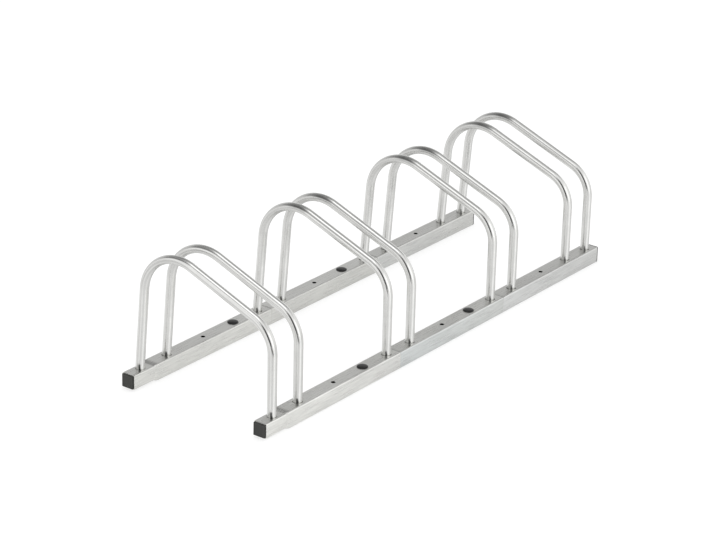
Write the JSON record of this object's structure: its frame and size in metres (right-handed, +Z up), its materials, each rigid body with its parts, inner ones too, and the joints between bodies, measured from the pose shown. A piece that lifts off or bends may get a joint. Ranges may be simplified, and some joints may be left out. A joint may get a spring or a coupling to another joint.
{
  "type": "bicycle rack",
  "caption": "Side-by-side floor rack for bicycles: zinc-plated tube hoops with sloping tops stand in pairs along two square rails and hold a wheel.",
  "frame": {"origin": "on the floor under the middle of the rack, at the bottom centre of its bounding box", "axes": "+X along the rails, from the reduced ends to the open ends; +Y from the hoops' low front to their tall rear; +Z up"},
  "size_m": [0.99, 0.315, 0.2554],
  "materials": {
    "zinc_plated_rail": "bright zinc plating, satin",
    "zinc_plated_tube": "bright zinc plating, semi-gloss",
    "steel_insert": "turned steel, satin",
    "zinc_plated_screw": "zinc plating, satin",
    "black_plastic_cap": "moulded, satin black",
    "black_plastic_plug": "moulded, glossy black"
  },
  "bodies": {
    "root": {"front_rail_1": "zinc_plated_rail", "front_rail_2": "zinc_plated_rail", "front_rail_3": "zinc_plated_rail", "rear_rail_1": "zinc_plated_rail", "rear_rail_2": "zinc_plated_rail", "rear_rail_3": "zinc_plated_rail", "hoop_1a": "zinc_plated_tube", "hoop_1b": "zinc_plated_tube", "hoop_2a": "zinc_plated_tube", "hoop_2b": "zinc_plated_tube", "hoop_3a": "zinc_plated_tube", "hoop_3b": "zinc_plated_tube", "hoop_4a": "zinc_plated_tube", "hoop_4b": "zinc_plated_tube", "insert_front_1a": "steel_insert", "screw_front_1a": "zinc_plated_screw", "insert_front_1b": "steel_insert", "screw_front_1b": "zinc_plated_screw", "insert_front_2a": "steel_insert", "screw_front_2a": "zinc_plated_screw", "insert_front_2b": "steel_insert", "screw_front_2b": "zinc_plated_screw", "insert_front_3a": "steel_insert", "screw_front_3a": "zinc_plated_screw", "insert_front_3b": "steel_insert", "screw_front_3b": "zinc_plated_screw", "insert_front_4a": "steel_insert", "screw_front_4a": "zinc_plated_screw", "insert_front_4b": "steel_insert", "screw_front_4b": "zinc_plated_screw", "insert_rear_1a": "steel_insert", "screw_rear_1a": "zinc_plated_screw", "insert_rear_1b": "steel_insert", "screw_rear_1b": "zinc_plated_screw", "insert_rear_2a": "steel_insert", "screw_rear_2a": "zinc_plated_screw", "insert_rear_2b": "steel_insert", "screw_rear_2b": "zinc_plated_screw", "insert_rear_3a": "steel_insert", "screw_rear_3a": "zinc_plated_screw", "insert_rear_3b": "steel_insert", "screw_rear_3b": "zinc_plated_screw", "insert_rear_4a": "steel_insert", "screw_rear_4a": "zinc_plated_screw", "insert_rear_4b": "steel_insert", "screw_rear_4b": "zinc_plated_screw", "end_cap_front_left": "black_plastic_cap", "end_cap_front_right": "black_plastic_cap", "hole_plug_front_1": "black_plastic_plug", "hole_plug_front_2": "black_plastic_plug", "end_cap_rear_left": "black_plastic_cap", "end_cap_rear_right": "black_plastic_cap", "hole_plug_rear_1": "black_plastic_plug", "hole_plug_rear_2": "black_plastic_plug"}
  },
  "joints": []
}
